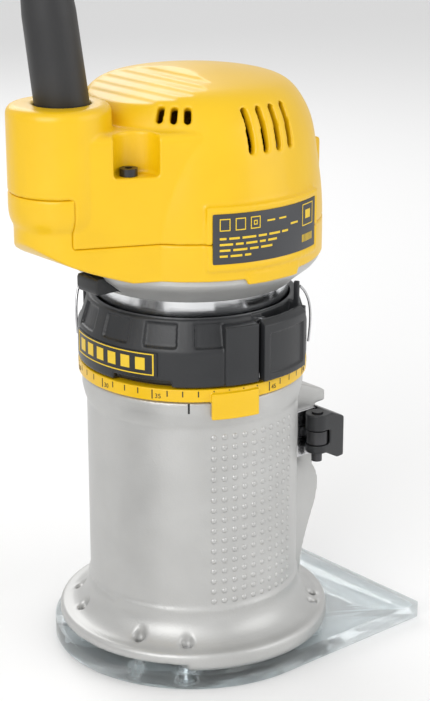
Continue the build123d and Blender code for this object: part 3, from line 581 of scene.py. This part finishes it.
def spline_points(points):
    """Points read along the smooth line that the control points give."""
    curve = bpy.data.curves.new("route", "CURVE")
    curve.dimensions = "3D"
    curve.resolution_u = 5
    spline = curve.splines.new("NURBS")
    spline.points.add(len(points) - 1)
    for point, place in zip(spline.points, points):
        point.co = (*place, 1)
    spline.order_u = 3
    spline.use_endpoint_u = True
    holder = bpy.data.objects.new("route", curve)
    bpy.context.scene.collection.objects.link(holder)
    graph = bpy.context.evaluated_depsgraph_get()
    mesh = bpy.data.meshes.new_from_object(holder.evaluated_get(graph))
    line = [v.co.copy() for v in mesh.vertices]
    bpy.data.objects.remove(holder)
    return line


def tube_mesh(name, line, radius, sides=14):
    form = bmesh.new()
    ahead = (line[1] - line[0]).normalized()
    side = ahead.orthogonal().normalized()
    rings = []
    for k, place in enumerate(line):
        before, after = line[max(k - 1, 0)], line[min(k + 1, len(line) - 1)]
        ahead = (after - before).normalized()
        side = (side - ahead * side.dot(ahead)).normalized()
        up = ahead.cross(side)
        ring = []
        for i in range(sides):
            a = 2 * pi * i / sides
            ring.append(form.verts.new(place + (side * cos(a) + up * sin(a)) * radius))
        rings.append(ring)
    for one, two in zip(rings, rings[1:]):
        for i in range(sides):
            j = (i + 1) % sides
            form.faces.new((one[i], one[j], two[j], two[i]))
    form.faces.new(rings[0][::-1])
    form.faces.new(rings[-1])
    bmesh.ops.recalc_face_normals(form, faces=form.faces)
    mesh = bpy.data.meshes.new(name)
    form.to_mesh(mesh)
    form.free()
    shade(mesh, 60)
    return mesh


def power_cord():
    end = [COIL_MIDDLE + Vector(p) for p in END]
    line = spline_points([Vector(p) for p in FALL] + coil_points() + end)
    cord = add_piece("mains_lead", tube_mesh("mains_lead", line, CORD_R), RUBBER)
    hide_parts("power_cord", "cord_coil", "cord_end")
    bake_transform(cord)


power_cord()

# ---------------------------------------------------------------- finish of the other CAD nodes

for node, thing in NODES.items():
    for place in thing.material_slots:
        place.material = FINISH[node]
    if not thing.material_slots:
        thing.data.materials.append(FINISH[node])

# ---------------------------------------------------------------- stage, camera and light

# The floor lies just under the clear plate, which goes black if the two touch
FLOOR_DROP = 0.3 * MM

VIEW_PLACE = (-0.4183, -0.4979, 0.3280)
VIEW_TILT, VIEW_TURN = 72.005, -40.756
LENS, SENSOR = 97.34, 36
LAMPS_AIM = Vector((0, 0, 0.11))


def floor():
    bpy.ops.mesh.primitive_plane_add(size=12, location=(0, 0, -FLOOR_DROP))
    plane = bpy.context.object
    plane.name = "floor"
    made, _, bsdf = shader("pale_floor")
    bsdf.inputs["Base Color"].default_value = (0.9, 0.9, 0.9, 1)
    bsdf.inputs["Roughness"].default_value = 0.6
    plane.data.materials.append(made)


def camera():
    data = bpy.data.cameras.new("camera")
    data.sensor_width = SENSOR
    data.sensor_fit = "AUTO"
    data.lens = LENS
    data.shift_y = -0.0297
    view = bpy.data.objects.new("camera", data)
    view.location = VIEW_PLACE
    view.rotation_euler = (radians(VIEW_TILT), 0, radians(VIEW_TURN))
    bpy.context.scene.collection.objects.link(view)
    bpy.context.scene.camera = view


def lamp(name, place, size, power):
    data = bpy.data.lights.new(name, "AREA")
    data.size = size
    data.energy = power
    light = bpy.data.objects.new(name, data)
    light.location = place
    light.rotation_euler = (LAMPS_AIM - Vector(place)).to_track_quat("-Z", "Y").to_euler()
    bpy.context.scene.collection.objects.link(light)


def daylight():
    world = bpy.data.worlds.new("studio")
    world.use_nodes = True
    world.node_tree.nodes["Background"].inputs["Color"].default_value = (1, 1, 1, 1)
    world.node_tree.nodes["Background"].inputs["Strength"].default_value = 0.75
    bpy.context.scene.world = world
    # The default view transform washes the yellow out
    bpy.context.scene.view_settings.view_transform = "Standard"


floor()
camera()
daylight()
lamp("key", (-0.75, -0.35, 0.55), 0.6, 4)
lamp("fill", (0.45, -0.75, 0.45), 0.7, 2)
lamp("rim", (0.3, 0.8, 0.7), 0.6, 3)
